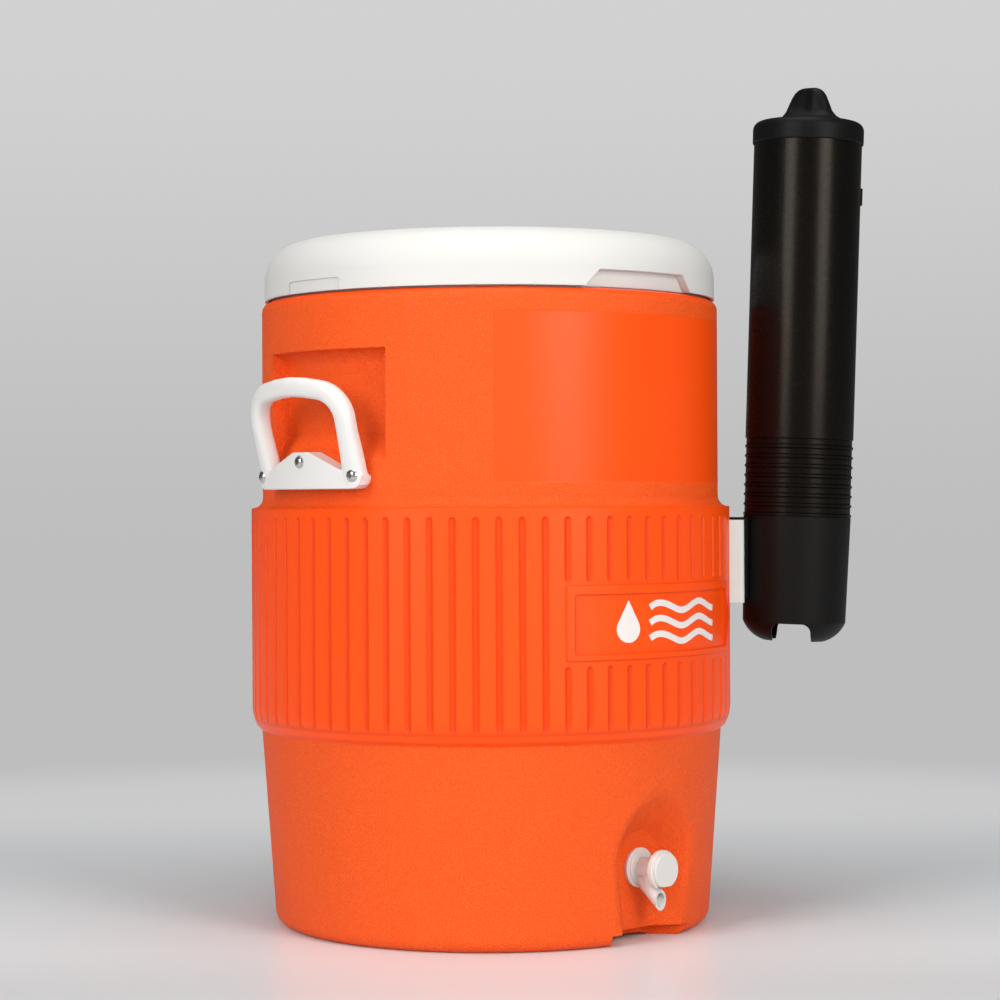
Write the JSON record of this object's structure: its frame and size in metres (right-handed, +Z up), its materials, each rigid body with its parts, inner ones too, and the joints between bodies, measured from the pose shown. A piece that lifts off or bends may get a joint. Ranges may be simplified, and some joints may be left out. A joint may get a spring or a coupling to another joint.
{
  "type": "insulated beverage dispenser",
  "caption": "Round insulated drink cooler with push-button spigot, carry handles, lift-off seat lid and a side tube that dispenses paper cups.",
  "frame": {"origin": "centre of the flat pad under the cooler, on the floor", "axes": "+Z up along the body axis; -Y towards the spigot and label; the two carry handles within 2 degrees of +X and -X; the cup dispenser hangs midway between -Y and +X"},
  "size_m": [0.4534, 0.4314, 0.6874],
  "materials": {
    "shell_orange": "satin moulded, fine leather grain",
    "foam": "closed-cell foam",
    "liner_white": "smooth moulded",
    "print_white": "screen print",
    "handle_white": "smooth moulded",
    "screw_steel": "bright",
    "lid_white": "fine texture",
    "seal_rubber": "matt",
    "spigot_white": "smooth moulded",
    "spring_steel": "bright",
    "bracket_white": "smooth moulded",
    "dispenser_black": "satin",
    "retainer_clear": "flexible"
  },
  "bodies": {
    "cooler_body": {"outer_shell": "shell_orange", "foam_insulation": "foam", "inner_liner": "liner_white", "panel_emblem": "print_white", "handle_left": "handle_white", "handle_right": "handle_white", "handle_screws": "screw_steel", "spigot_body": "spigot_white", "spigot_outer_gasket": "seal_rubber", "spigot_inner_gasket": "seal_rubber", "spigot_lock_nut": "spigot_white", "spigot_spring": "spring_steel", "dispenser_bracket": "bracket_white", "bracket_screws": "screw_steel"},
    "lid": {"lid_shell": "lid_white", "lid_foam": "foam", "lid_inner_panel": "liner_white", "lid_gasket": "seal_rubber"},
    "button": {"spigot_button": "spigot_white", "spigot_stem": "spigot_white", "valve_seal": "seal_rubber"},
    "dispenser": {"dispenser_tube": "dispenser_black", "dispenser_base": "dispenser_black", "cup_retainer": "retainer_clear"},
    "cap": {"dispenser_cap": "dispenser_black"}
  },
  "joints": [
    {"name": "lid_lift", "type": "slide", "parent": "cooler_body", "child": "lid", "axis": [0, 0, 1], "range_m": [0, 0.15]},
    {"name": "button_press", "type": "slide", "parent": "cooler_body", "child": "button", "axis": [0, 1, 0], "range_m": [0, 0.0038], "stiffness_N_per_m": 200, "deforming": ["spigot_spring"]},
    {"name": "dispenser_slide", "type": "slide", "parent": "cooler_body", "child": "dispenser", "axis": [0, 0, 1], "range_m": [0, 0.07]},
    {"name": "cap_lift", "type": "slide", "parent": "dispenser", "child": "cap", "axis": [0.0247, -0.0247, 0.9994], "range_m": [0, 0.06]}
  ]
}
